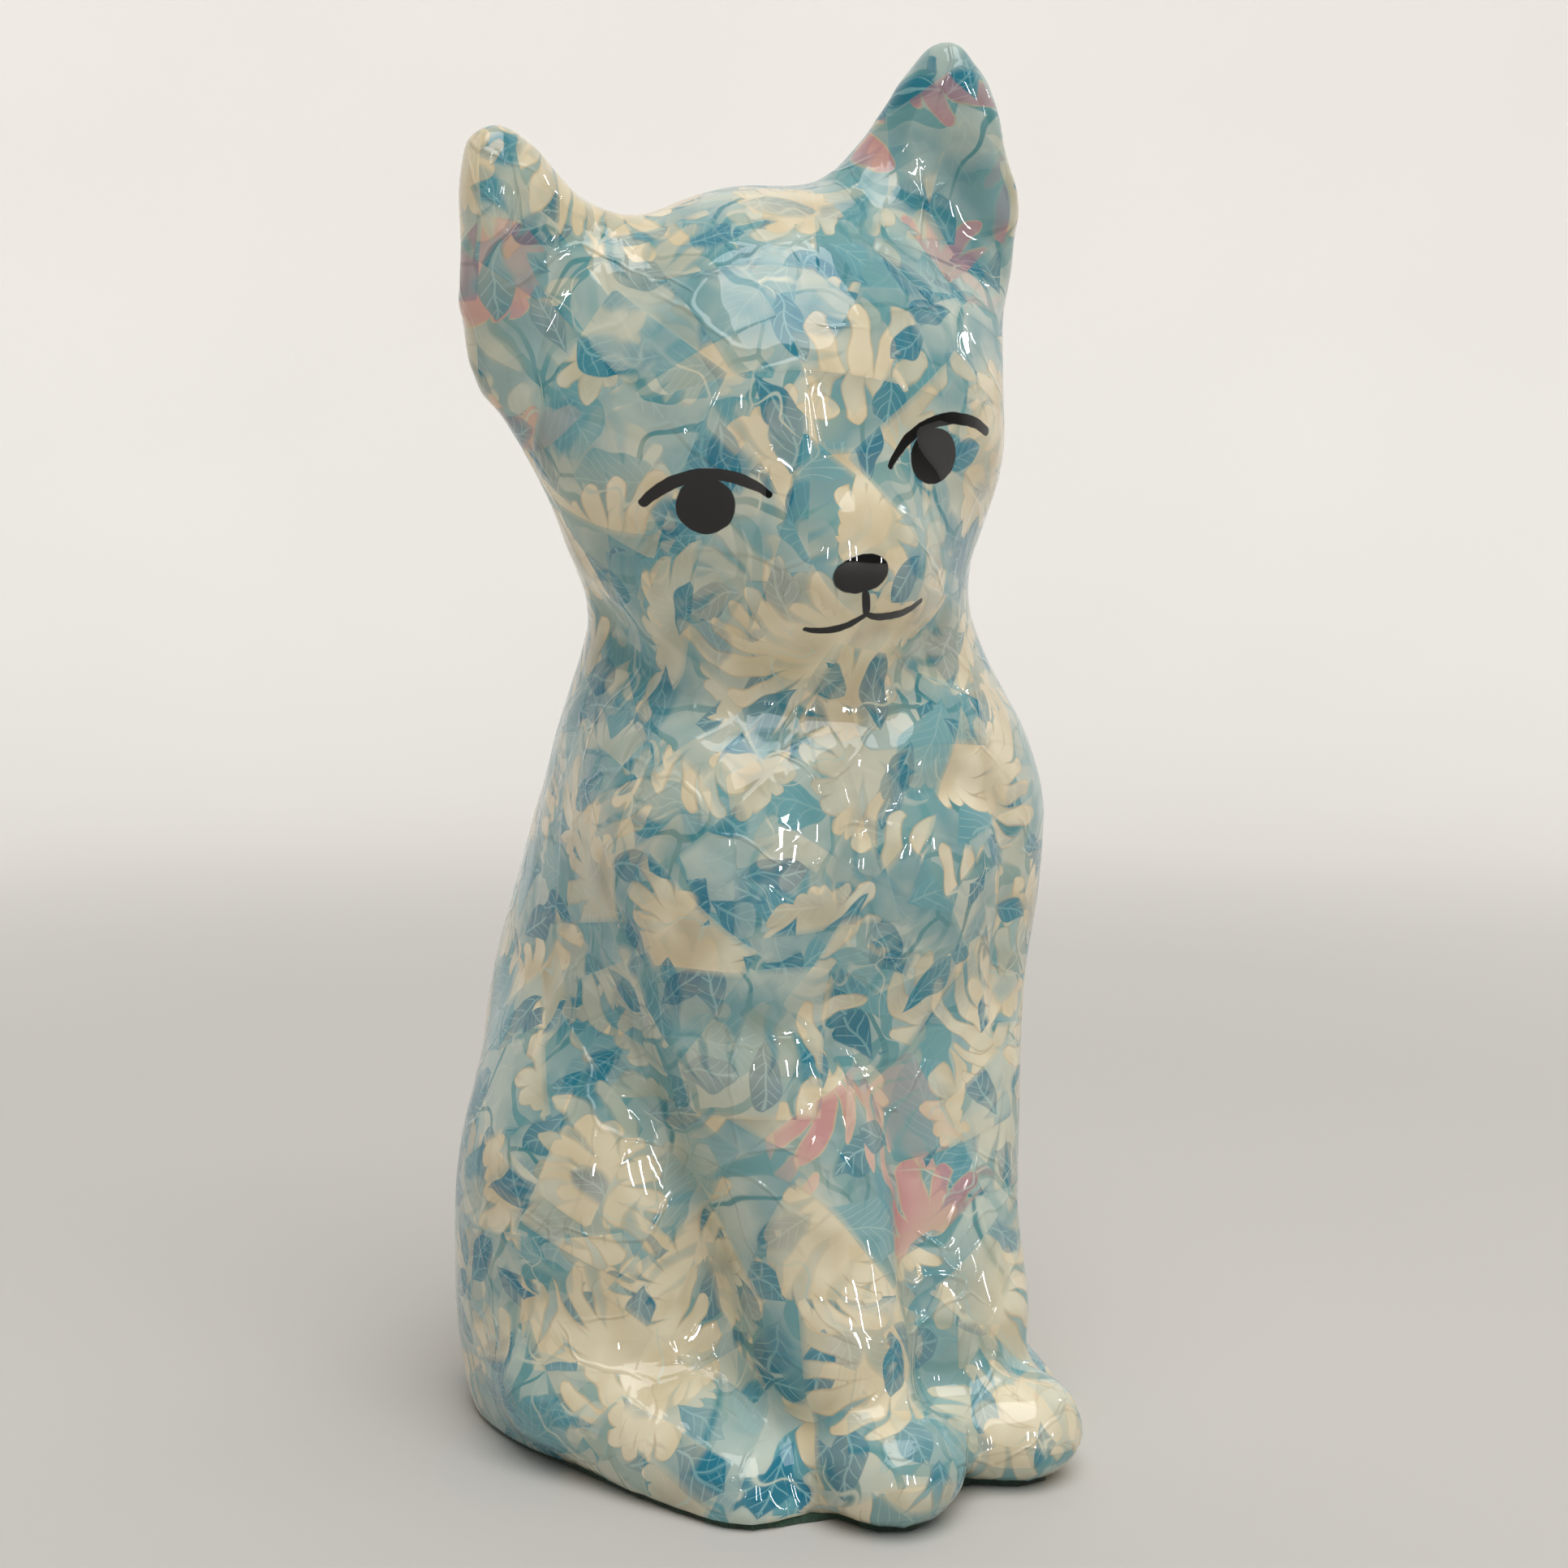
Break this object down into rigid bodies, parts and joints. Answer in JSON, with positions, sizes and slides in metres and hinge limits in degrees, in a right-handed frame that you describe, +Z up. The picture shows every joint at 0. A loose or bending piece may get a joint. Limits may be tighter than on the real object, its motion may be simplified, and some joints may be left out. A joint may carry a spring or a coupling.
{
  "type": "kitten statuette",
  "caption": "Sitting ceramic kitten statuette with its head turned and tilted, covered in pasted floral paper under gloss varnish.",
  "frame": {"origin": "middle of the footprint's bounding box, on the table under the felt pad", "axes": "+Z up, the kitten's chest faces -Y, its left side is towards +X"},
  "size_m": [0.1272, 0.1344, 0.253],
  "materials": {
    "varnished_ceramic": "gloss",
    "felt": "matte"
  },
  "bodies": {
    "root": {"kitten": "varnished_ceramic", "felt_pad": "felt"}
  },
  "joints": []
}
